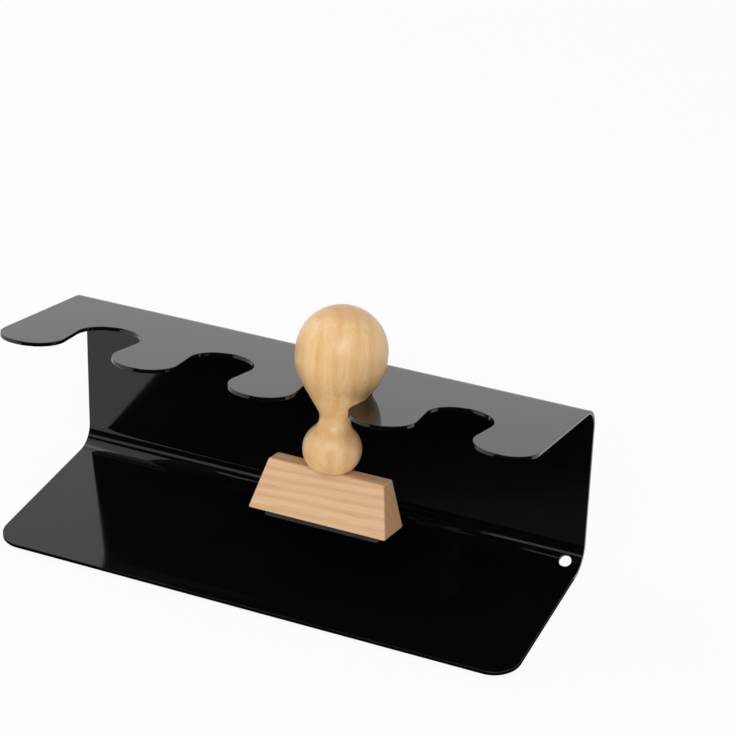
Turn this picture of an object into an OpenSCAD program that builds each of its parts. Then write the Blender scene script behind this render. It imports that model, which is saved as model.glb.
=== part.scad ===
// Rubber stamp rack: a desk rack bent from one coated sheet, with open slots in its
// sloping shelf, and a wooden hand stamp that hangs by its knob in one of the slots.
// Millimetres. +X runs along the rack, the front is towards -Y and +Z is up. The origin
// is on the desk, in the middle of the rack's length and depth.

/* [Rack sheet] */
// Length of the rack from end to end
rack_w = 180; // [172:1:240]
// Thickness of the bent sheet
sheet_t = 1.3; // [1:0.1:3]
// Depth of the base in front of the back
base_depth = 63.8; // [50:0.1:90]
// Height of the back, measured along its slope
back_h = 55.4; // [48:0.1:80]
// Lean of the back from upright, in degrees
back_lean = 4.4; // [0:0.1:10]
// Depth of the shelf along its slope, to the finger tips
shelf_depth = 60.9; // [50:0.1:75]
// Slope of the shelf, which rises towards the front, in degrees
shelf_rise = 14.6; // [5:0.1:20]
// Inside radius of the bend between base and back
low_bend_r = 7; // [4:0.1:12]
// Inside radius of the bend between back and shelf
top_bend_r = 7.7; // [4:0.1:12]
// Radius of the base's two front corners
base_corner_r = 9; // [2:0.5:20]
// Radius of the shelf's two outer front corners
shelf_corner_r = 9.4; // [2:0.1:10]
// Diameter of the hole in the lower bend, for the hook of the coating line
hook_hole_d = 4; // [2:0.1:6]
// Distance of that hole's middle from the rack's right end
hook_hole_inset = 5.2; // [4:0.1:20]
// Place of that hole along the bend, in degrees up from the base
hook_hole_turn = 34; // [20:1:60]

/* [Slots] */
// Number of slots in the shelf
slot_count = 4; // [2:1:4]
// Distance from one slot to the next
slot_pitch = 40; // [37:0.5:42]
// Width of a slot at its round inner end
slot_w = 20.8; // [19.6:0.1:22]
// Width of a slot where the finger tips narrow it
mouth_w = 18.8; // [18:0.1:20]
// Depth of a slot, from the finger tips to its inner end
slot_depth = 32.5; // [29:0.1:36]

/* [Anti-slip pads] */
// Diameter of a pad
pad_d = 10; // [6:0.5:14]
// Thickness of a pad
pad_h = 1.2; // [0.8:0.1:3]
// Distance of a pad's middle from the edges of the flat base
pad_inset = 12; // [8:0.5:20]

/* [Stamp handle] */
// Slot that holds the stamp, counted from the right end
stamp_slot = 2; // [1:1:4]
// Diameter of the turned knob
knob_d = 28.4; // [26:0.1:32]
// Height of the straight belt around the knob
knob_belt = 2.1; // [0.5:0.1:5]
// Height of the belt's lower edge above the block
knob_rise = 36; // [34:0.1:42]
// Diameter of the neck
neck_d = 9.7; // [7:0.1:11]
// Height of the neck above the block
neck_rise = 16.3; // [15.5:0.1:18]
// Diameter of the round foot
foot_d = 18.4; // [16:0.1:20]
// Radius of the foot's rounding
foot_r = 8.4; // [8:0.1:9]
// Height of the foot's fullest part above the block
foot_rise = 6.6; // [5:0.1:7.5]

/* [Stamp block] */
// Length of the block at its underside
block_w = 46.4; // [40:0.1:60]
// Length of the block at its top
block_top_w = 38.9; // [30:0.1:46]
// Depth of the block at its underside
block_d = 14.7; // [12:0.1:20]
// Depth of the block at its top
block_top_d = 6.9; // [6:0.1:11]
// Height of the block
block_h = 16.1; // [12:0.1:18]

/* [Rubber die] */
// Length of the rubber plate
die_w = 38; // [30:0.1:42]
// Depth of the rubber plate
die_d = 12.4; // [8:0.1:13]
// Thickness of the plate without its printing relief
die_t = 1.5; // [1:0.1:3]
// How far the plate is glued off the block's middle
die_shift = 1.3; // [0:0.1:2]
// Height of the printing relief
relief_h = 0.9; // [0.5:0.1:1.5]
// Number of printed lines
relief_rows = 2; // [1:1:3]

/* [Handle screw] */
// Diameter of the screw's thread
screw_d = 3; // [2.5:0.1:3.5]
// Diameter of the countersunk head
screw_head_d = 5.8; // [5:0.1:7]
// Length of the screw
screw_len = 28; // [24:0.5:30]

/* [Clearances] */
// Gap between the knob and the edge of its slot
seat_gap = 0.3; // [0.2:0.05:0.6]
// Gap around the screw in the block
screw_gap = 0.1; // [0.05:0.05:0.3]
// How deep the thread bites into the handle
thread_bite = 0.2; // [0.1:0.05:0.4]

/* [Hidden] */
$fn = 96;
// Degrees from one point to the next on a turned outline
arc_step = 4;
// Reach of a cutting tool past the face that it cuts
past = 1;
// How far a straight edge runs inside the round that it meets, so that the two cross
graze = 0.01;
// Least straight edge between two rounds
least_flat = 0.6;

coat_black = "#141516";
beech_turned = "#d6a673";
beech_plain = "#d9b183";
rubber_grey = "#3a3c3e";
pad_black = "#222222";
zinc = "#b9bcc0";

// A point at a distance and an angle from another point
function away(from, r, angle) = from + r * [cos(angle), sin(angle)];

// Ends of the line that touches circle a on one side and circle b on the other
function crossed_tangent(a, ra, b, rb, side) =
    let (gap = b - a)
    let (turn = atan2(gap[1], gap[0]) + side * acos((ra + rb) / norm(gap)))
    [away(a, ra, turn), away(b, -rb, turn)];

// Points along an arc, one every few degrees
function arc(centre, r, start, end) =
    let (steps = ceil(abs(end - start) / arc_step))
    [for (i = [0 : steps]) away(centre, r, start + (end - start) * i / steps)];

// Bent sheet seen from its right end, with the inner low corner at [0, 0] and the rear towards +Y:
// the walk goes along the base to the rear, up the back and out along the shelf.
back_angle = 90 - back_lean;
shelf_angle = 180 - shelf_rise;
low_cut = low_bend_r * tan(back_angle / 2);
top_cut = top_bend_r * tan((shelf_angle - back_angle) / 2);
low_corner = [0, sheet_t];
top_corner = away(low_corner, back_h, back_angle);
low_bend_c = [-low_cut, sheet_t + low_bend_r];
top_bend_c = away(away(top_corner, -top_cut, back_angle), top_bend_r, back_angle + 90);

// Corners of the sheet's outer face, and the raw end of the shelf's underside, from which the
// finger tips are cut
outer_low = low_corner + sheet_t * [tan(back_angle / 2), -1];
outer_top = away(away(top_corner, sheet_t * tan((shelf_angle - back_angle) / 2), back_angle),
                 sheet_t, back_angle - 90);
raw_end = away(top_corner, shelf_depth + past, shelf_angle);
// The hollow is open to the front, so its outline runs well past the base and the shelf
hollow_reach = base_depth;

// The rack's rear is the top bend's outside, and its front is the base's edge
rear_y = top_bend_c[0] + top_bend_r + sheet_t;
middle_y = (rear_y - base_depth) / 2;

// Slots: distances are measured forward from the back, along the shelf
tip_r = (slot_pitch - mouth_w) / 2;
slot_r = slot_w / 2;
tip_c = [slot_pitch / 2, -(shelf_depth - tip_r)];
end_tip_x = slot_count * slot_pitch / 2;
end_flat = rack_w / 2 - end_tip_x;
outer_corner_r = min(shelf_corner_r, end_flat - least_flat);
slot_c = [0, -(shelf_depth - slot_depth + slot_r)];
slot_x = [for (i = [0 : slot_count - 1]) (i - (slot_count - 1) / 2) * slot_pitch];
stamp_x = slot_x[max(slot_count - stamp_slot, 0)];

// Handle profile: radius and height above the block
knob_r = knob_d / 2;
knob_c = [0, knob_rise];
foot_c = [foot_d / 2 - foot_r, foot_rise];
// The neck's hollow is an arc that leaves the foot's rounding smoothly
neck_drop = neck_rise - foot_rise;
neck_step = neck_d / 2 - foot_c[0];
neck_r = (foot_r * foot_r - neck_drop * neck_drop - neck_step * neck_step) / (2 * (neck_step - foot_r));
neck_c = [neck_d / 2 + neck_r, neck_rise];
// Where the foot meets the neck's hollow, and where the taper leaves the knob, as angles
foot_end = atan2(neck_drop, neck_c[0] - foot_c[0]);
taper = crossed_tangent(knob_c, knob_r, neck_c, neck_r, 1);
taper_turn = atan2(taper[0][1] - knob_rise, taper[0][0]);
taper_slope = (taper[0][0] - taper[1][0]) / (taper[0][1] - taper[1][1]);

// The knob hangs on the slot's upper edge: the radius there and its height above the block
seat_r = slot_r - seat_gap / cos(atan(taper_slope));
seat_rise = seat_r < taper[0][0]
    ? taper[1][1] + (seat_r - taper[1][0]) / taper_slope
    : knob_rise - sqrt(knob_r * knob_r - seat_r * seat_r);

// Screw: its head is level with the block's underside
screw_head_h = (screw_head_d - screw_d) / 2;
screw_tip_h = screw_d;

// Relief lines across the die
relief_margin = 1.5;
relief_pitch = (die_d - relief_margin) / relief_rows;
relief_fill = 0.6;
relief_line_d = relief_pitch * relief_fill;
relief_gap = 1.2;
// Widths of the bars along a line, as shares of the room that they have
relief_shares = [[0.34, 0.2, 0.46], [0.52, 0.48], [0.25, 0.4, 0.35]];

// Places what is drawn round the bent sheet's low corner on the desk
module on_desk() translate([0, -middle_y, pad_h]) children();

// Places what is drawn on the shelf: y is the distance behind the shelf's corner, z its height
// above the shelf's underside
module on_shelf() on_desk() translate([0, top_corner[0], top_corner[1]]) rotate([-shelf_rise, 0, 0])
    children();

// Places what is drawn on the stamp: z is the height above the block's top
module on_stamp() on_shelf() translate([stamp_x, slot_c[1], sheet_t - seat_rise]) children();

// What a bend leaves outside its round: corner is where the straight stretches would meet
module turn_waste(corner, centre, r, start, end) difference() {
    polygon([centre, away(centre, r + past, start - 90), 2 * corner - centre,
             away(centre, r + past, end - 90)]);
    circle_at(centre, r + graze);
}

// Everything inside one face of the sheet, in end view, from the base to the shelf's end
module inside_face(depth, low, top, low_r, top_r, shelf_end) difference() {
    polygon(concat([[-depth, low[1]], low, top], shelf_end));
    turn_waste(low, low_bend_c, low_r, 0, back_angle);
    turn_waste(top, top_bend_c, top_r, back_angle, shelf_angle);
}

// End view of the sheet: what lies inside its outer face and outside its inner face
module sheet_end() difference() {
    inside_face(base_depth, outer_low, outer_top, low_bend_r + sheet_t, top_bend_r + sheet_t,
                [away(raw_end, sheet_t, shelf_angle - 90), away(raw_end, past, shelf_angle + 90),
                 [-base_depth, sheet_t + past]]);
    inside_face(base_depth + hollow_reach, low_corner, top_corner, low_bend_r, top_bend_r,
                [away(raw_end, hollow_reach, shelf_angle)]);
}

// What is cut away outside a round corner whose point is at the origin, on the side of +X and +Y
module corner_waste(r) difference() {
    translate([-past, -past]) square(r + past);
    circle_at([r, r], r + graze);
}

// One slot, from its round end out between the two finger tips
module slot_outline() {
    left_tip = [-tip_c[0], tip_c[1]];
    right_wall = crossed_tangent(slot_c, slot_r - graze, tip_c, tip_r - graze, 1);
    left_wall = crossed_tangent(slot_c, slot_r - graze, left_tip, tip_r - graze, -1);
    mouth = [tip_c[0] - past, -shelf_depth - past];
    circle_at(slot_c, slot_r);
    polygon([slot_c, right_wall[0], right_wall[1], tip_c, mouth,
             [-mouth[0], mouth[1]], left_tip, left_wall[1], left_wall[0]]);
}

// What is cut from the shelf to leave its fingers: the slots, and the room in front of the tips
module finger_waste() difference() {
    union() {
        for (x = slot_x) translate([x, 0]) slot_outline();
        translate([-rack_w / 2 - past, -shelf_depth - 2 * past])
            square([rack_w + 2 * past, tip_r / 2 + 2 * past]);
    }
    for (i = [0 : slot_count]) circle_at([i * slot_pitch - end_tip_x, tip_c[1]], tip_r);
    for (side = [0, 1]) mirror([side, 0]) translate([end_tip_x, graze - shelf_depth])
        square([end_flat + 2 * past, tip_r]);
}

module circle_at(centre, r) translate(centre) circle(r);

// Bent sheet with its slots, round corners and hook hole
module rack() color(coat_black) difference() {
    on_desk() translate([-rack_w / 2, 0, 0]) rotate([90, 0, 90]) linear_extrude(rack_w) sheet_end();
    on_shelf() translate([0, 0, -past]) linear_extrude(sheet_t + 2 * past) {
        finger_waste();
        for (side = [0, 1]) mirror([side, 0]) translate([-rack_w / 2, graze - shelf_depth])
            corner_waste(outer_corner_r);
    }
    on_desk() translate([0, 0, -past]) linear_extrude(sheet_t + 2 * past)
        for (side = [0, 1]) mirror([side, 0]) translate([-rack_w / 2, -base_depth])
            corner_waste(base_corner_r);
    on_desk() translate([rack_w / 2 - hook_hole_inset, low_bend_c[0], low_bend_c[1]])
        rotate([180 + hook_hole_turn, 0, 0]) cylinder(h = low_bend_r + sheet_t + past, d = hook_hole_d);
}

// Round pad stuck under the flat of the base
module pad(side, y) color(pad_black) on_desk()
    translate([side * (rack_w / 2 - pad_inset), y, -pad_h]) cylinder(h = pad_h, d = pad_d);

module pad_front_left() pad(-1, pad_inset - base_depth);
module pad_front_right() pad(1, pad_inset - base_depth);
module pad_rear_left() pad(-1, -low_cut - pad_d / 2);
module pad_rear_right() pad(1, -low_cut - pad_d / 2);

// Half of the handle's outline, from the flat seat up to the top of the knob
module handle_outline() polygon(concat(
    [[0, 0]],
    arc(foot_c, foot_r, -asin(foot_rise / foot_r), foot_end),
    arc(neck_c, neck_r, 180 + foot_end, taper_turn + 180),
    arc(knob_c, knob_r, taper_turn, 0),
    arc(knob_c + [0, knob_belt], knob_r, 0, 90)));

// Turned handle with the pilot hole for its screw
module stamp_handle() color(beech_turned) on_stamp() difference() {
    rotate_extrude() handle_outline();
    translate([0, 0, -past])
        cylinder(h = screw_len - block_h + screw_gap + past, d = screw_d - 2 * thread_bite);
}

// Countersunk wood screw, up through the block into the handle
module handle_screw() color(zinc) on_stamp() translate([0, 0, -block_h]) rotate_extrude() polygon([
    [0, 0], [screw_head_d / 2, 0], [screw_d / 2, screw_head_h], [screw_d / 2, screw_len - screw_tip_h],
    [0, screw_len]]);

// Outline of the block across one of its two tapers, with its top at the height zero
module block_outline(low, high) polygon([
    [-low / 2, -block_h], [low / 2, -block_h], [high / 2, 0], [-high / 2, 0]]);

// Block that narrows upwards on all four sides, drilled and countersunk for the screw
module stamp_block() color(beech_plain) on_stamp() difference() {
    intersection() {
        rotate([90, 0, 0]) linear_extrude(block_d, center = true) block_outline(block_w, block_top_w);
        rotate([90, 0, 90]) linear_extrude(block_w, center = true) block_outline(block_d, block_top_d);
    }
    translate([0, 0, -block_h - past]) cylinder(h = block_h + 2 * past, d = screw_d + 2 * screw_gap);
    translate([0, 0, -block_h]) rotate_extrude() polygon([
        [0, -past], [screw_head_d / 2 + screw_gap, -past], [screw_head_d / 2 + screw_gap, 0],
        [screw_d / 2 + screw_gap, screw_head_h], [0, screw_head_h]]);
}

// Bars of one line of the relief, laid along the room that they share
module relief_line(shares) {
    room = die_w - 2 * relief_margin - (len(shares) - 1) * relief_gap;
    for (i = [0 : len(shares) - 1]) {
        before = i == 0 ? 0 : [for (k = [0 : i - 1]) shares[k]] * [for (k = [0 : i - 1]) 1];
        translate([-die_w / 2 + relief_margin + before * room + i * relief_gap, -relief_line_d / 2])
            square([shares[i] * room, relief_line_d]);
    }
}

// Rubber plate glued under the block, with a relief of plain bars
module rubber_die() color(rubber_grey) on_stamp() translate([die_shift, 0, -block_h - die_t]) {
    translate([-die_w / 2, -die_d / 2, 0]) cube([die_w, die_d, die_t]);
    translate([0, 0, -relief_h]) linear_extrude(relief_h)
        for (row = [0 : relief_rows - 1])
            translate([0, (row - (relief_rows - 1) / 2) * relief_pitch])
                relief_line(relief_shares[row % len(relief_shares)]);
}

rack();
pad_front_left();
pad_front_right();
pad_rear_left();
pad_rear_right();
stamp_handle();
handle_screw();
stamp_block();
rubber_die();
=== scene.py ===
import math

import bmesh
import bpy
from mathutils import Matrix, Vector


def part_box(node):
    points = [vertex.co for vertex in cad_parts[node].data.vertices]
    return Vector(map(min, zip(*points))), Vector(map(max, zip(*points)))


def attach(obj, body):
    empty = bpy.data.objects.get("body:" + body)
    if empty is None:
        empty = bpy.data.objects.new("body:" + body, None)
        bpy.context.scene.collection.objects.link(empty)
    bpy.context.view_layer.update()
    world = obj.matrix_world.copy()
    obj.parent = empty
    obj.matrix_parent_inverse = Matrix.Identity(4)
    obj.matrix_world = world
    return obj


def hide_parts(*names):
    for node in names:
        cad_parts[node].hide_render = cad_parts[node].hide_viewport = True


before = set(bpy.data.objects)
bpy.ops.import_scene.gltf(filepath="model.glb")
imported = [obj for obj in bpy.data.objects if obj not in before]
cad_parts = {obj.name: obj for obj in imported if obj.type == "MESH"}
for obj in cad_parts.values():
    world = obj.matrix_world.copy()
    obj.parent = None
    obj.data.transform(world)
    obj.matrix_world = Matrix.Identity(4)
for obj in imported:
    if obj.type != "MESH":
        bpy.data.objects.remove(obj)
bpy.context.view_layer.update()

# Sizes in millimetres and slopes in degrees, the same as in the part's source
MM = 0.001
RACK_W = 180
SHEET_T = 1.3
BASE_DEPTH = 63.8
BACK_H = 55.4
BACK_LEAN = 4.4
SHELF_DEPTH = 60.9
SHELF_RISE = 14.6
LOW_BEND_R = 7
TOP_BEND_R = 7.7
BASE_CORNER_R = 9
SHELF_CORNER_R = 9.4
HOOK_HOLE_D = 4
HOOK_HOLE_INSET = 5.2
HOOK_HOLE_TURN = 34
SLOT_COUNT = 4
SLOT_PITCH = 40
SLOT_W = 20.8
MOUTH_W = 18.8
SLOT_DEPTH = 32.5
PAD_D = 10
PAD_H = 1.2
STAMP_SLOT = 2
KNOB_D = 28.4
KNOB_BELT = 2.1
KNOB_RISE = 36
NECK_D = 9.7
NECK_RISE = 16.3
FOOT_D = 18.4
FOOT_R = 8.4
FOOT_RISE = 6.6
BLOCK_W = 46.4
BLOCK_TOP_W = 38.9
BLOCK_D = 14.7
BLOCK_TOP_D = 6.9
BLOCK_H = 16.1
SEAT_GAP = 0.3

# Finish of the edges, which the source leaves sharp, in millimetres
SHEET_ARRIS = 0.17
BLOCK_ARRIS = 0.6
PAD_ARRIS = 0.35

# Fineness of the meshes: degrees from point to point, and sides of what is round
ARC_STEP = 3
BEND_STEP = 2.5
PAD_RIM_STEP = 15
HANDLE_SIDES = 128
PAD_SIDES = 48
DRILL_SIDES = 48
ARRIS_STEPS = 3
# Edges that turn more than the first are rounded, and those that turn less than the second shade smoothly
ROUNDED_ABOVE = 50
SMOOTH_BELOW = 45
# A radius under this lies on the axis
ON_AXIS = 1e-6
# The drill passes both faces of the bend, with room to spare
DRILL_LENGTH = 4 * SHEET_T

# Patterns of the finishes: size of their marks and depth of their relief, in millimetres
CLOUD_MM = 25
PEEL_MM = 2.2
FIBRE_MM = 1.1
RAY_MM = 0.5
BLOOM_MM = 6
SPANGLE_MM = 1.5
RELIEF_MM = 0.05

# Wood: the pith lies outside the pieces, in millimetres, and they were sawn a few degrees off the grain.
# Rings and fibres are drawn out along the grain, by these shares of their scale across it.
PITH_PLACE = (11, 19, 23)
SAWN_TILT = (2, 3, 0)
RING_STRETCH = 0.16
FIBRE_STRETCH = 0.04
# Scale at which the wave texture has one wave to a unit
WAVE_UNIT = 2 * math.pi / 20

# A colour mix, and its sockets: share, first colour, second colour and result
COLOUR_MIX = {"data_type": "RGBA"}
MIX_SHARE = 0
MIX_FROM = 6
MIX_TO = 7
MIX_RESULT = 2

# Camera, fitted to the rack's edges in the photograph, in millimetres and degrees
CAMERA_PLACE = (288.1, -577.4, 462)
CAMERA_YAW = 24.215
CAMERA_PITCH = 31.322
CAMERA_ROLL = -0.318
CAMERA_LENS = 119.83
SENSOR_W = 36

# Floor: its reach to each side in millimetres, and how white it shows
FLOOR_REACH = 8000
FLOOR_WHITE = 0.92
# Share of the background's white that lights the object
SKY_LIGHT = 0.5
# Black cards in front of the rack, in millimetres: seen only in reflections, they are painted shade that
# keeps the reflected front dark. The low card lies just above the floor, from the rear left corner of the
# flat base to a far edge that starts further left, and the tall card stands at that edge.
CARD_LIFT = 0.5
CARD_REACH = 1300
CARD_HEIGHT = 3000
CARD_LEFT = 310
# Lamps: place, width and height in millimetres, and power in watts
LAMPS = {
    "key": ((350, -950, 1000), (900, 900), 8),
    "fill": ((-1100, 100, 1000), (1000, 1000), 4),
    "strip": ((-550, -950, 700), (1200, 250), 0.9),
}
LAMP_AIM = (0, 0, 40)


def sin(angle):
    """Sine of an angle in degrees."""
    return math.sin(math.radians(angle))


def cos(angle):
    """Cosine of an angle in degrees."""
    return math.cos(math.radians(angle))


def tan(angle):
    """Tangent of an angle in degrees."""
    return math.tan(math.radians(angle))


def away(start, distance, angle):
    """A point at a distance and an angle from another point."""
    return Vector((start[0] + distance * cos(angle), start[1] + distance * sin(angle)))


def arc(centre, radius, start, end, step=ARC_STEP):
    """Points along an arc, one every few degrees."""
    count = max(1, math.ceil(abs(end - start) / step))
    return [away(centre, radius, start + (end - start) * i / count) for i in range(count + 1)]


def crossed_tangent(a, radius_a, b, radius_b, side):
    """Angle of the normal of the line that touches circle a on one side and circle b on the other."""
    gap = Vector(b) - Vector(a)
    turn = side * math.acos((radius_a + radius_b) / gap.length)
    return math.degrees(math.atan2(gap.y, gap.x) + turn)


# Bent sheet, in end view: the walk runs on the inner face, from the base's front edge to the back and
# out along the shelf, with the inner low corner at the height of the sheet
BACK_ANGLE = 90 - BACK_LEAN
SHELF_ANGLE = 180 - SHELF_RISE
TOP_TURN = SHELF_ANGLE - BACK_ANGLE
LOW_CUT = LOW_BEND_R * tan(BACK_ANGLE / 2)
TOP_CUT = TOP_BEND_R * tan(TOP_TURN / 2)
TOP_CORNER = away((0, SHEET_T), BACK_H, BACK_ANGLE)
TOP_BEND_C = away(away(TOP_CORNER, -TOP_CUT, BACK_ANGLE), TOP_BEND_R, BACK_ANGLE + 90)
REAR_Y = TOP_BEND_C.x + TOP_BEND_R + SHEET_T
MIDDLE_Y = (REAR_Y - BASE_DEPTH) / 2

# Stretches of the walk: length, and the angle that the sheet turns over it
BASE_FLAT = BASE_DEPTH - LOW_CUT
LOW_BEND_WALK = LOW_BEND_R * math.radians(BACK_ANGLE)
TOP_BEND_WALK = TOP_BEND_R * math.radians(TOP_TURN)
STRETCHES = [
    (BASE_FLAT, 0),
    (LOW_BEND_WALK, BACK_ANGLE),
    (BACK_H - LOW_CUT - TOP_CUT, 0),
    (TOP_BEND_WALK, TOP_TURN),
    (SHELF_DEPTH - TOP_CUT, 0),
]
BLANK_DEPTH = sum(length for length, turn in STRETCHES)

# Slots: distances are measured forward from the shelf's corner
TIP_R = (SLOT_PITCH - MOUTH_W) / 2
SLOT_R = SLOT_W / 2
TIP_AT = SHELF_DEPTH - TIP_R
SLOT_AT = SHELF_DEPTH - SLOT_DEPTH + SLOT_R

# Way of the grain, in the rack's frame: along the block, and up the handle
GRAIN_WAYS = {"X": (1, 0, 0), "Z": (0, sin(SHELF_RISE), cos(SHELF_RISE))}


def hex_linear(code):
    """Linear colour, with alpha, of an sRGB hex value."""
    parts = [int(code[i:i + 2], 16) / 255 for i in (1, 3, 5)]
    return [p / 12.92 if p <= 0.04045 else ((p + 0.055) / 1.055) ** 2.4 for p in parts] + [1]


def empty_tree(owner):
    """The node tree of a material or a world, with nothing in it yet."""
    owner.use_nodes = True
    owner.node_tree.nodes.clear()
    return owner.node_tree


def add(tree, kind, settings=None, inputs=None):
    """Adds a node with its settings, and sets or links its inputs."""
    node = tree.nodes.new("ShaderNode" + kind)
    for name, value in (settings or {}).items():
        setattr(node, name, value)
    for name, value in (inputs or {}).items():
        if isinstance(value, bpy.types.NodeSocket):
            tree.links.new(value, node.inputs[name])
        else:
            node.inputs[name].default_value = value
    return node


def new_material(name, shader_inputs):
    """A material with one Principled shader."""
    material = bpy.data.materials.new(name)
    tree = empty_tree(material)
    shader = add(tree, "BsdfPrincipled", inputs=shader_inputs)
    add(tree, "OutputMaterial", inputs={"Surface": shader.outputs[0]})
    return material, tree, shader


def per_metre(size_mm):
    """Texture scale that gives a pattern of this size."""
    return 1 / (size_mm * MM)


def stoved_gloss_enamel():
    """Black enamel stoved on steel: a deep mirror, with a faint orange peel and a few duller clouds."""
    material, tree, shader = new_material("stoved_gloss_enamel_black", {
        "Base Color": hex_linear("#08080A"), "IOR": 1.47})
    place = add(tree, "TexCoord").outputs["Object"]
    clouds = add(tree, "TexNoise", inputs={"Vector": place, "Scale": per_metre(CLOUD_MM), "Detail": 4})
    dulling = add(tree, "MapRange", inputs={
        "Value": clouds.outputs["Fac"], "From Min": 0.35, "From Max": 0.7, "To Min": 0.05, "To Max": 0.09})
    tree.links.new(dulling.outputs[0], shader.inputs["Roughness"])
    peel = add(tree, "TexNoise", inputs={"Vector": place, "Scale": per_metre(PEEL_MM), "Detail": 1})
    bump = add(tree, "Bump", inputs={
        "Height": peel.outputs["Fac"], "Strength": 0.02, "Distance": RELIEF_MM * MM})
    tree.links.new(bump.outputs[0], shader.inputs["Normal"])
    return material


def beech(name, along, colours, ring_mm, ring_share, fleck_share, gloss):
    """Beech: pale wood with wavy growth rings, fine fibres, short ray flecks and darker end grain."""
    material, tree, shader = new_material(name, gloss)
    light, dark, fleck = (hex_linear(code) for code in colours)
    place = add(tree, "Attribute", {"attribute_name": "place_on_piece"}).outputs["Vector"]
    sawn = add(tree, "Mapping", inputs={"Vector": place, "Rotation": [math.radians(a) for a in SAWN_TILT]})
    trunk = add(tree, "Mapping", inputs={
        "Vector": sawn.outputs[0], "Scale": [RING_STRETCH if axis == along else 1 for axis in "XYZ"],
        "Location": [mm * MM for mm in PITH_PLACE]})
    rings = add(tree, "TexWave", {"wave_type": "RINGS", "rings_direction": along}, {
        "Vector": trunk.outputs[0], "Scale": per_metre(ring_mm) * WAVE_UNIT, "Distortion": 5,
        "Detail": 3, "Detail Scale": 0.7, "Detail Roughness": 0.6})
    late_wood = add(tree, "MapRange", inputs={
        "Value": rings.outputs["Fac"], "From Min": 0.35, "From Max": 1, "To Min": 0, "To Max": ring_share})
    tint = add(tree, "Mix", COLOUR_MIX, {
        MIX_SHARE: late_wood.outputs[0], MIX_FROM: light, MIX_TO: dark})
    # Real fibres are too fine to show, so they are drawn as coarser strands
    strands = add(tree, "Mapping", inputs={
        "Vector": sawn.outputs[0], "Scale": [FIBRE_STRETCH if axis == along else 1 for axis in "XYZ"]})
    fibre = add(tree, "TexNoise", inputs={
        "Vector": strands.outputs[0], "Scale": per_metre(FIBRE_MM), "Detail": 4, "Roughness": 0.6})
    shade = add(tree, "MapRange", inputs={
        "Value": fibre.outputs["Fac"], "From Min": 0.4, "From Max": 0.75,
        "To Min": 0, "To Max": ring_share})
    toned = add(tree, "Mix", COLOUR_MIX, {
        MIX_SHARE: shade.outputs[0], MIX_FROM: tint.outputs[MIX_RESULT], MIX_TO: dark})
    specks = add(tree, "TexNoise", inputs={
        "Vector": strands.outputs[0], "Scale": per_metre(RAY_MM), "Detail": 1})
    ray = add(tree, "MapRange", inputs={
        "Value": specks.outputs["Fac"], "From Min": 0.62, "From Max": 0.76,
        "To Min": 0, "To Max": fleck_share})
    flecked = add(tree, "Mix", COLOUR_MIX, {
        MIX_SHARE: ray.outputs[0], MIX_FROM: toned.outputs[MIX_RESULT], MIX_TO: fleck})
    facing = add(tree, "VectorMath", {"operation": "DOT_PRODUCT"}, {
        0: add(tree, "TexCoord").outputs["Normal"], 1: GRAIN_WAYS[along]})
    across = add(tree, "Math", {"operation": "ABSOLUTE"}, {0: facing.outputs["Value"]})
    thirsty = add(tree, "MapRange", inputs={
        "Value": across.outputs[0], "From Min": 0.75, "From Max": 1, "To Min": 0, "To Max": 0.55})
    end_grain = add(tree, "Mix", COLOUR_MIX, {
        MIX_SHARE: thirsty.outputs[0], MIX_FROM: flecked.outputs[MIX_RESULT], MIX_TO: fleck})
    tree.links.new(end_grain.outputs[MIX_RESULT], shader.inputs["Base Color"])
    bump = add(tree, "Bump", inputs={
        "Height": fibre.outputs["Fac"], "Strength": 0.1, "Distance": RELIEF_MM * MM})
    tree.links.new(bump.outputs[0], shader.inputs["Normal"])
    return material


def lacquered_turned_beech():
    """Turned and dipped in clear lacquer: warm, with a soft sheen over a faint grain up the handle."""
    return beech("lacquered_turned_beech", "Z", ("#EFC68E", "#DCA467", "#C08C54"),
                 ring_mm=5, ring_share=0.45, fleck_share=0.3,
                 gloss={"Roughness": 0.36, "IOR": 1.5, "Coat Weight": 0.25, "Coat Roughness": 0.22})


def planed_beech():
    """Planed and left raw: matt and pinkish, with soft brown streaks that run along the block."""
    return beech("planed_beech", "X", ("#E4BC91", "#C99463", "#AE7A4C"),
                 ring_mm=2.8, ring_share=0.36, fleck_share=0.35,
                 gloss={"Roughness": 0.55, "IOR": 1.5})


def pressed_rubber(name, colour, bloom_colour, grit_mm, roughness):
    """Pressed rubber: matt and dark, with a fine grit and a little bloom that lightens it in patches."""
    material, tree, shader = new_material(name, {"Roughness": roughness, "IOR": 1.52})
    place = add(tree, "TexCoord").outputs["Object"]
    bloom = add(tree, "TexNoise", inputs={"Vector": place, "Scale": per_metre(BLOOM_MM), "Detail": 5})
    pale = add(tree, "MapRange", inputs={
        "Value": bloom.outputs["Fac"], "From Min": 0.4, "From Max": 0.8, "To Min": 0, "To Max": 0.25})
    tint = add(tree, "Mix", COLOUR_MIX, {
        MIX_SHARE: pale.outputs[0], MIX_FROM: hex_linear(colour), MIX_TO: hex_linear(bloom_colour)})
    tree.links.new(tint.outputs[MIX_RESULT], shader.inputs["Base Color"])
    # Real grit is too fine to show, so it is drawn coarser
    grit = add(tree, "TexNoise", inputs={"Vector": place, "Scale": per_metre(grit_mm), "Detail": 2})
    bump = add(tree, "Bump", inputs={
        "Height": grit.outputs["Fac"], "Strength": 0.25, "Distance": RELIEF_MM * MM})
    tree.links.new(bump.outputs[0], shader.inputs["Normal"])
    return material


def die_rubber():
    """Rubber for printing: dark grey, with a fine even grit."""
    return pressed_rubber("pressed_rubber_grey", "#242526", "#4C4D4E", grit_mm=0.3, roughness=0.66)


def pad_rubber():
    """Rubber for gripping the desk: nearly black, a little coarser and duller."""
    return pressed_rubber("pressed_rubber_black", "#1A1A1B", "#3A3A3B", grit_mm=0.5, roughness=0.7)


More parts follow.
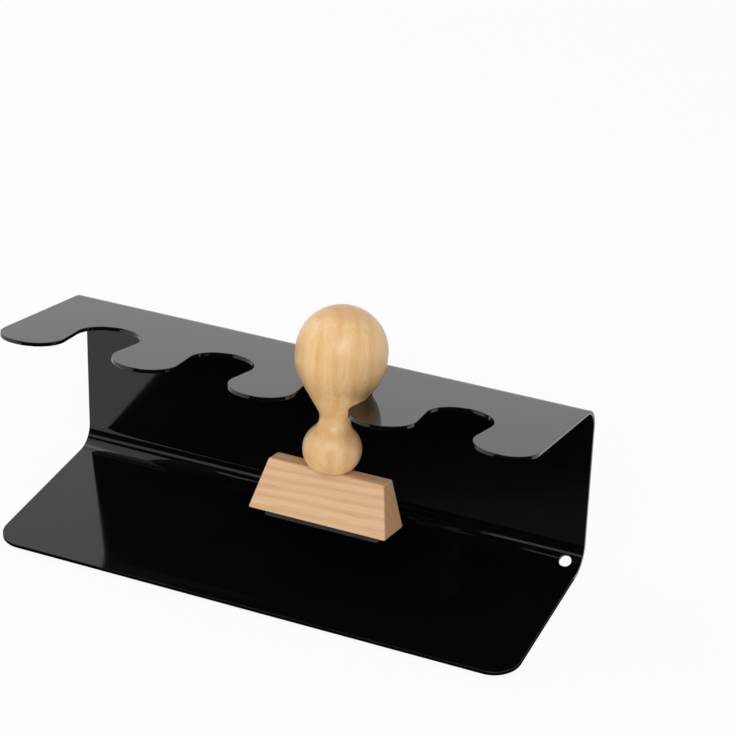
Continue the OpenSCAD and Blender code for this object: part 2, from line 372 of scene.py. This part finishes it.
def zinc_plated_steel():
    """Bright zinc on a pressed screw: a cool pale metal with soft spangled patches."""
    material, tree, shader = new_material("zinc_plated_steel", {"Metallic": 1})
    place = add(tree, "TexCoord").outputs["Object"]
    spangle = add(tree, "TexNoise", inputs={"Vector": place, "Scale": per_metre(SPANGLE_MM), "Detail": 3})
    tint = add(tree, "Mix", COLOUR_MIX, {
        MIX_SHARE: spangle.outputs["Fac"], MIX_FROM: hex_linear("#B9BCC0"), MIX_TO: hex_linear("#D5D6D2")})
    tree.links.new(tint.outputs[MIX_RESULT], shader.inputs["Base Color"])
    dulling = add(tree, "MapRange", inputs={
        "Value": spangle.outputs["Fac"], "To Min": 0.22, "To Max": 0.42})
    tree.links.new(dulling.outputs[0], shader.inputs["Roughness"])
    return material


def new_piece(name, bm, body, node, material, place=None):
    """Makes a piece that stands for a node, smooth across its rounded edges and flat on its flats."""
    mesh = bpy.data.meshes.new(name)
    bm.to_mesh(mesh)
    bm.free()
    mesh.transform(Matrix.Scale(MM, 4))
    grown = mesh.attributes.new("place_on_piece", "FLOAT_VECTOR", "POINT")
    grown.data.foreach_set("vector", [c for vertex in mesh.vertices for c in vertex.co])
    mesh.transform(place or Matrix.Identity(4))
    mesh.shade_smooth()
    mesh.set_sharp_from_angle(angle=math.radians(SMOOTH_BELOW))
    mesh.materials.append(material)
    piece = bpy.data.objects.new(name, mesh)
    bpy.context.scene.collection.objects.link(piece)
    normals = piece.modifiers.new("flat_faces", "WEIGHTED_NORMAL")
    normals.keep_sharp = True
    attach(piece, body)
    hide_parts(node)


def round_arrises(bm, width):
    """Rounds every sharp edge."""
    sharp = [e for e in bm.edges if e.calc_face_angle(0) > math.radians(ROUNDED_ABOVE)]
    bmesh.ops.bevel(bm, geom=sharp, offset=width, offset_type="OFFSET", segments=ARRIS_STEPS, profile=0.5,
                    affect="EDGES", clamp_overlap=False)


def turned(profile, sides):
    """A solid of revolution about Z: the profile is radius and height, and starts and ends on the axis."""
    bm = bmesh.new()
    turns = [360 * i / sides for i in range(sides)]
    rings = []
    for radius, height in profile:
        if radius < ON_AXIS:
            rings.append([bm.verts.new((0, 0, height))] * sides)
        else:
            rings.append([bm.verts.new((radius * cos(a), radius * sin(a), height)) for a in turns])
    for low, high in zip(rings, rings[1:]):
        for i in range(sides):
            corners = [low[i - 1], low[i], high[i], high[i - 1]]
            bm.faces.new(list(dict.fromkeys(corners)))
    bmesh.ops.recalc_face_normals(bm, faces=bm.faces)
    return bm


def slot_x(number):
    """Place along the rack of a slot, counted from the right end."""
    return ((SLOT_COUNT + 1) / 2 - number) * SLOT_PITCH


def fold(x, along, depth):
    """Place of a point of the flat blank after bending: depth is 0 on the inner face."""
    place = Vector((-BASE_DEPTH, SHEET_T))
    heading = 0
    left = along
    for length, turn in STRETCHES:
        step = min(left, length)
        if turn:
            radius = length / math.radians(turn)
            centre = away(place, radius, heading + 90)
            heading += turn * step / length
            place = away(centre, radius, heading - 90)
        else:
            place = away(place, step, heading)
        left -= step
        if left <= 0:
            break
    place = away(place, depth, heading - 90)
    return Vector((x, place.x - MIDDLE_Y, place.y + PAD_H))


def side_stations():
    """Distances along the blank of the points on its sides: each stretch's end, and steps in the bends."""
    stations = []
    start = 0
    for length, turn in STRETCHES[:-1]:
        count = max(1, math.ceil(turn / BEND_STEP))
        stations += [start + length * (i + 1) / count for i in range(count)]
        start += length
    return stations


def finger_edge():
    """The shelf's edge on the flat blank, from the right corner over the finger tips to the left one."""
    shelf_start = BLANK_DEPTH - SHELF_DEPTH
    corner_x = RACK_W / 2 - SHELF_CORNER_R
    corner_y = BLANK_DEPTH - SHELF_CORNER_R
    points = arc((corner_x, corner_y), SHELF_CORNER_R, 0, 90)
    for number in range(1, SLOT_COUNT + 1):
        slot = (slot_x(number), shelf_start + SLOT_AT)
        right = (slot[0] + SLOT_PITCH / 2, shelf_start + TIP_AT)
        left = (slot[0] - SLOT_PITCH / 2, shelf_start + TIP_AT)
        wall = crossed_tangent(slot, SLOT_R, right, TIP_R, -1)
        points += arc(right, TIP_R, 90, 180 + wall)
        points += arc(slot, SLOT_R, wall, -180 - wall)
        points += arc(left, TIP_R, -wall, 90)
    points += arc((-corner_x, corner_y), SHELF_CORNER_R, 90, 180)
    return points


def drill_hook_hole(sheet):
    """The sheet with its hook hole, drilled square through the lower bend."""
    drill = bmesh.new()
    radius = HOOK_HOLE_D / 2
    bmesh.ops.create_cone(drill, cap_ends=True, segments=DRILL_SIDES, radius1=radius, radius2=radius,
                          depth=DRILL_LENGTH)
    along = BASE_FLAT + LOW_BEND_WALK * HOOK_HOLE_TURN / BACK_ANGLE
    place = fold(RACK_W / 2 - HOOK_HOLE_INSET, along, SHEET_T / 2)
    drill.transform(Matrix.Translation(place) @ Matrix.Rotation(math.radians(HOOK_HOLE_TURN), 4, "X"))
    work, tool = (bpy.data.objects.new(name, bpy.data.meshes.new(name)) for name in ("blank", "drill"))
    for thing, bm in ((work, sheet), (tool, drill)):
        bm.to_mesh(thing.data)
        bm.free()
        bpy.context.scene.collection.objects.link(thing)
    cut = work.modifiers.new("hook_hole", "BOOLEAN")
    cut.object = tool
    cut.solver = "EXACT"
    drilled = bmesh.new()
    drilled.from_object(work, bpy.context.evaluated_depsgraph_get())
    for thing in (work, tool):
        bpy.data.objects.remove(thing)
    return drilled


def rack_sheet(material):
    """The bent sheet: a flat blank with slots and round corners, folded on two bends, its edges rounded."""
    half = RACK_W / 2
    base_edge = arc((BASE_CORNER_R - half, BASE_CORNER_R), BASE_CORNER_R, 180, 270)
    base_edge += [Vector((-p.x, p.y)) for p in reversed(base_edge)]
    shelf_edge = finger_edge()
    stations = side_stations()
    bm = bmesh.new()
    rims = []
    for depth in (0, SHEET_T):
        base = [bm.verts.new(fold(p.x, p.y, depth)) for p in base_edge]
        right = [bm.verts.new(fold(half, s, depth)) for s in stations]
        shelf = [bm.verts.new(fold(p.x, p.y, depth)) for p in shelf_edge]
        left = [bm.verts.new(fold(-half, s, depth)) for s in stations]
        bm.faces.new(base + [right[0], left[0]])
        bm.faces.new([right[-1]] + shelf + [left[-1]])
        for i in range(1, len(stations)):
            bm.faces.new([right[i - 1], right[i], left[i], left[i - 1]])
        rims.append(base + right + shelf + left[::-1])
    inner, outer = rims
    for i in range(len(inner)):
        bm.faces.new([inner[i - 1], inner[i], outer[i], outer[i - 1]])
    bmesh.ops.recalc_face_normals(bm, faces=bm.faces)
    bm = drill_hook_hole(bm)
    round_arrises(bm, SHEET_ARRIS)
    new_piece("rack_sheet", bm, "rack", "rack", material)


def handle_profile():
    """Radius and height of the turned handle above the block, and where its taper meets the slot's edge."""
    knob_r = KNOB_D / 2
    knob = Vector((0, KNOB_RISE))
    foot = Vector((FOOT_D / 2 - FOOT_R, FOOT_RISE))
    drop = NECK_RISE - FOOT_RISE
    step = NECK_D / 2 - foot.x
    neck_r = (FOOT_R ** 2 - drop ** 2 - step ** 2) / (2 * (step - FOOT_R))
    neck = Vector((NECK_D / 2 + neck_r, NECK_RISE))
    foot_start = -math.degrees(math.asin(FOOT_RISE / FOOT_R))
    foot_end = math.degrees(math.atan2(drop, neck.x - foot.x))
    taper = crossed_tangent(knob, knob_r, neck, neck_r, 1)
    profile = [Vector((0, 0))] + arc(foot, FOOT_R, foot_start, foot_end)
    profile += arc(neck, neck_r, 180 + foot_end, 180 + taper)[1:]
    profile += arc(knob, knob_r, taper, 0)
    profile += arc(knob + Vector((0, KNOB_BELT)), knob_r, 0, 90)
    profile[-1].x = 0
    taper_top = away(knob, knob_r, taper)
    taper_low = away(neck, -neck_r, taper)
    slope = (taper_top.x - taper_low.x) / (taper_top.y - taper_low.y)
    seat_r = SLOT_R - SEAT_GAP * math.hypot(1, slope)
    return profile, taper_low.y + (seat_r - taper_low.x) / slope


def stamp_handle(place, profile, material):
    """The turned handle."""
    bm = turned(profile, HANDLE_SIDES)
    new_piece("turned_handle", bm, "stamp", "stamp_handle", material, place)


def stamp_block(place, material):
    """The block, narrower at its top on all four sides, with its arrises sanded round."""
    bm = bmesh.new()
    corners = [(-1, -1), (1, -1), (1, 1), (-1, 1)]
    low = [bm.verts.new((x * BLOCK_W / 2, y * BLOCK_D / 2, -BLOCK_H)) for x, y in corners]
    high = [bm.verts.new((x * BLOCK_TOP_W / 2, y * BLOCK_TOP_D / 2, 0)) for x, y in corners]
    bm.faces.new(low)
    bm.faces.new(high)
    for i in range(len(corners)):
        bm.faces.new([low[i - 1], low[i], high[i], high[i - 1]])
    bmesh.ops.recalc_face_normals(bm, faces=bm.faces)
    round_arrises(bm, BLOCK_ARRIS)
    new_piece("wood_block", bm, "stamp", "stamp_block", material, place)


def anti_slip_pad(node, material):
    """A thin round pad with a soft lower rim."""
    low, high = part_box(node)
    middle = (low + high) / 2
    radius = PAD_D / 2
    rim = arc((radius - PAD_ARRIS, PAD_ARRIS), PAD_ARRIS, -90, 0, PAD_RIM_STEP)
    profile = [Vector((0, 0))] + rim + [Vector((radius, PAD_H)), Vector((0, PAD_H))]
    place = Matrix.Translation((middle.x, middle.y, low.z))
    new_piece(node + "_rubber", turned(profile, PAD_SIDES), "rack", node, material, place)


def dress(node, material):
    """Gives a carried-over node its finish."""
    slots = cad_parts[node].data.materials
    slots.clear()
    slots.append(material)


def seen_share(tree):
    """1 where the camera sees it directly, mirrored or through glass, and 0 where it only gives light."""
    ray = add(tree, "LightPath").outputs
    seen = add(tree, "Math", {"operation": "MAXIMUM"}, {0: ray["Is Camera Ray"], 1: ray["Is Glossy Ray"]})
    shown = add(tree, "Math", {"operation": "MAXIMUM"}, {
        0: seen.outputs[0], 1: ray["Is Transmission Ray"]})
    return shown.outputs[0]


def matt_white_paper():
    """Uncoated white paper: plain and matt, nearly white, with the object's soft shadow on it."""
    material = bpy.data.materials.new("matt_white_paper")
    tree = empty_tree(material)
    share = add(tree, "Math", {"operation": "MULTIPLY"}, {0: seen_share(tree), 1: FLOOR_WHITE})
    matt = add(tree, "BsdfDiffuse", inputs={"Color": hex_linear("#F4F4F4")})
    white = add(tree, "Emission", inputs={"Color": hex_linear("#FFFFFF"), "Strength": 1})
    both = add(tree, "MixShader", inputs={0: share.outputs[0], 1: matt.outputs[0], 2: white.outputs[0]})
    add(tree, "OutputMaterial", inputs={"Surface": both.outputs[0]})
    return material


def painted_dark_reflection():
    """Painted dark reflection: a matt black sheet, seen only in reflections, that gives back next to no
    light, so what mirrors it stays dark.
    """
    return new_material("painted_dark_reflection", {
        "Base Color": hex_linear("#050505"), "Roughness": 1, "Specular IOR Level": 0})[0]


def stage_sheet(name, corners, material):
    """A flat four-cornered sheet of the studio."""
    mesh = bpy.data.meshes.new(name)
    mesh.from_pydata(corners, [], [(0, 1, 2, 3)])
    mesh.transform(Matrix.Scale(MM, 4))
    mesh.materials.append(material)
    sheet = bpy.data.objects.new(name, mesh)
    bpy.context.scene.collection.objects.link(sheet)
    return sheet


def white_floor():
    """A plain pale floor, far larger than the view."""
    reach = FLOOR_REACH
    corners = [(-reach, -reach, 0), (reach, -reach, 0), (reach, reach, 0), (-reach, reach, 0)]
    stage_sheet("floor", corners, matt_white_paper())


def painted_dark_reflection_cards():
    """Black sheets in front of the rack, seen only in its gloss: a painted dark reflection that keeps the
    open front dark.
    """
    material = painted_dark_reflection()
    reach = CARD_REACH
    near_x = -RACK_W / 2
    near_y = -LOW_CUT - MIDDLE_Y
    low_corners = [
        (near_x, near_y, CARD_LIFT), (-CARD_LEFT, -reach, CARD_LIFT),
        (reach, -reach, CARD_LIFT), (reach, near_y, CARD_LIFT)]
    tall_corners = [
        (-reach, -reach, CARD_LIFT), (reach, -reach, CARD_LIFT),
        (reach, -reach, CARD_HEIGHT), (-reach, -reach, CARD_HEIGHT)]
    for name, corners in (("low_painted_shade_card", low_corners), ("tall_painted_shade_card", tall_corners)):
        card = stage_sheet(name, corners, material)
        # The cards hide from the camera, from diffuse light and from shadows: only their painted dark
        # reflection shows.
        card.visible_camera = False
        card.visible_diffuse = False
        card.visible_transmission = False
        card.visible_shadow = False


def white_sky():
    """A white background, which lights the object less strongly than it shows."""
    world = bpy.data.worlds.new("white_studio")
    bpy.context.scene.world = world
    tree = empty_tree(world)
    strength = add(tree, "MapRange", inputs={"Value": seen_share(tree), "To Min": SKY_LIGHT, "To Max": 1})
    sky = add(tree, "Background", inputs={"Color": hex_linear("#FFFFFF"), "Strength": strength.outputs[0]})
    add(tree, "OutputWorld", inputs={"Surface": sky.outputs[0]})


def soft_lamps():
    """Broad lamps, all turned to the rack, that the camera itself doesn't see."""
    for name, (place, size, watts) in LAMPS.items():
        lamp = bpy.data.lights.new(name, "AREA")
        lamp.shape = "RECTANGLE"
        lamp.size, lamp.size_y = (side * MM for side in size)
        lamp.energy = watts
        stand = bpy.data.objects.new(name, lamp)
        stand.visible_camera = False
        stand.location = Vector(place) * MM
        stand.rotation_euler = (Vector(LAMP_AIM) - Vector(place)).to_track_quat("-Z", "Y").to_euler()
        bpy.context.scene.collection.objects.link(stand)


def photo_camera():
    """The camera, at the place from which the photograph was taken."""
    camera = bpy.data.cameras.new("camera")
    camera.lens = CAMERA_LENS
    camera.sensor_width = SENSOR_W
    stand = bpy.data.objects.new("camera", camera)
    stand.matrix_world = (
        Matrix.Translation(Vector(CAMERA_PLACE) * MM)
        @ Matrix.Rotation(math.radians(CAMERA_YAW), 4, "Z")
        @ Matrix.Rotation(math.radians(90 - CAMERA_PITCH), 4, "X")
        @ Matrix.Rotation(math.radians(CAMERA_ROLL), 4, "Z"))
    bpy.context.scene.collection.objects.link(stand)
    bpy.context.scene.camera = stand


# The rack's sheet
rack_sheet(stoved_gloss_enamel())

# The stamp, hung in its slot square to the shelf: its frame starts on the block's top, under the handle
profile, seat_rise = handle_profile()
shelf_corner = Vector((0, TOP_CORNER.x - MIDDLE_Y, TOP_CORNER.y + PAD_H)) * MM
seat = Vector((slot_x(STAMP_SLOT), -SLOT_AT, SHEET_T - seat_rise)) * MM
stamp_place = (
    Matrix.Translation(shelf_corner)
    @ Matrix.Rotation(math.radians(-SHELF_RISE), 4, "X")
    @ Matrix.Translation(seat))
stamp_handle(stamp_place, profile, lacquered_turned_beech())
stamp_block(stamp_place, planed_beech())
dress("rubber_die", die_rubber())
dress("handle_screw", zinc_plated_steel())

# The pads under the rack
pad_finish = pad_rubber()
for corner in ("front_left", "front_right", "rear_left", "rear_right"):
    anti_slip_pad("pad_" + corner, pad_finish)

# The studio
bpy.context.scene.view_settings.view_transform = "Standard"
white_floor()
painted_dark_reflection_cards()
white_sky()
soft_lamps()
photo_camera()
